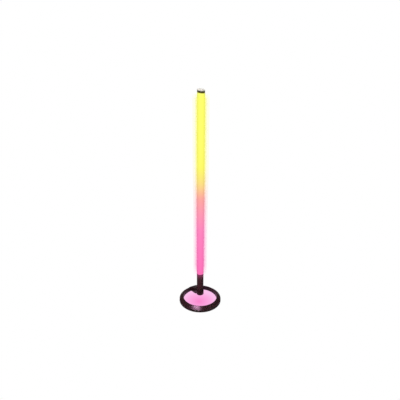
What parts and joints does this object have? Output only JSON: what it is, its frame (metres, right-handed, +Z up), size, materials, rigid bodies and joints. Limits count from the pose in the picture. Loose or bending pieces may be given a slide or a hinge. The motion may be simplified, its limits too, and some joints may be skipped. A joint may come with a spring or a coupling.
{
  "type": "led light tube",
  "caption": "Free-standing LED light tube on an open ring base: a frosted stick in a lit socket, held by an arm, with buttons in its slanted head.",
  "frame": {"origin": "centre of the ring base at floor level", "axes": "+Z up along the tube, +Y to the back, where the arm rises from the ring and the power inlet is"},
  "size_m": [0.2404, 0.2404, 1.185],
  "materials": {
    "base_black": "satin moulded brown-black",
    "cover_black": "fine grain",
    "sleeve_black": "satin brown-black",
    "band_black": "gloss",
    "diffuser": "frosted, lit pink at the foot to yellow at the head",
    "panel_white": "pale satin",
    "button_white": "pale satin",
    "inner_white": "matte white",
    "inner_black": "matte black",
    "lens": "opal",
    "steel": "zinc plated",
    "spine_metal": "extruded, natural",
    "contact": "gold flash",
    "board": "green solder mask",
    "parts": "moulded packages",
    "phosphor": "yellow phosphor",
    "pad_rubber": "matte",
    "lead_skin": "satin"
  },
  "bodies": {
    "base": {"ring_shell": "base_black", "ring_cover": "cover_black", "ballast_weights": "steel", "foot_pads": "pad_rubber", "cover_screws": "steel", "support_arm": "base_black", "arm_screws": "steel", "arm_cover": "cover_black", "arm_cover_screws": "steel", "socket_liner": "inner_black", "contact_block": "inner_black", "contact_pins": "contact", "downlight_board": "inner_white", "downlight_leds": "phosphor", "downlight_lens": "lens", "dc_jack": "inner_black", "dc_pin": "contact", "base_lead": "lead_skin"},
    "stick": {"stick_plug": "inner_black", "contact_pads": "contact", "lower_sleeve": "sleeve_black", "tube_joiner": "inner_white", "driver_board": "board", "driver_components": "parts", "diffuser_tube": "diffuser", "led_spine": "spine_metal", "spine_discs": "inner_white", "led_strips": "inner_white", "led_chips": "phosphor", "stick_harness": "lead_skin", "top_core": "inner_black", "top_band": "band_black", "top_panel": "panel_white", "button_board": "board", "tact_switches": "parts", "board_screws": "steel"},
    "power_button": {"power_button": "button_white"},
    "mode_button": {"mode_button": "button_white"},
    "link_button": {"link_button": "button_white"}
  },
  "joints": [
    {"name": "stick_lift", "type": "slide", "parent": "base", "child": "stick", "axis": [0, 0, 1], "range_m": [0, 0.03]},
    {"name": "power_press", "type": "slide", "parent": "stick", "child": "power_button", "axis": [0, 0.2079, -0.9781], "range_m": [0, 0.0006], "stiffness_N_per_m": 600, "springref_m": -0.0015},
    {"name": "mode_press", "type": "slide", "parent": "stick", "child": "mode_button", "axis": [0, 0.2079, -0.9781], "range_m": [0, 0.0006], "stiffness_N_per_m": 600, "springref_m": -0.0015},
    {"name": "link_press", "type": "slide", "parent": "stick", "child": "link_button", "axis": [0, 0.2079, -0.9781], "range_m": [0, 0.0006], "stiffness_N_per_m": 600, "springref_m": -0.0015}
  ]
}
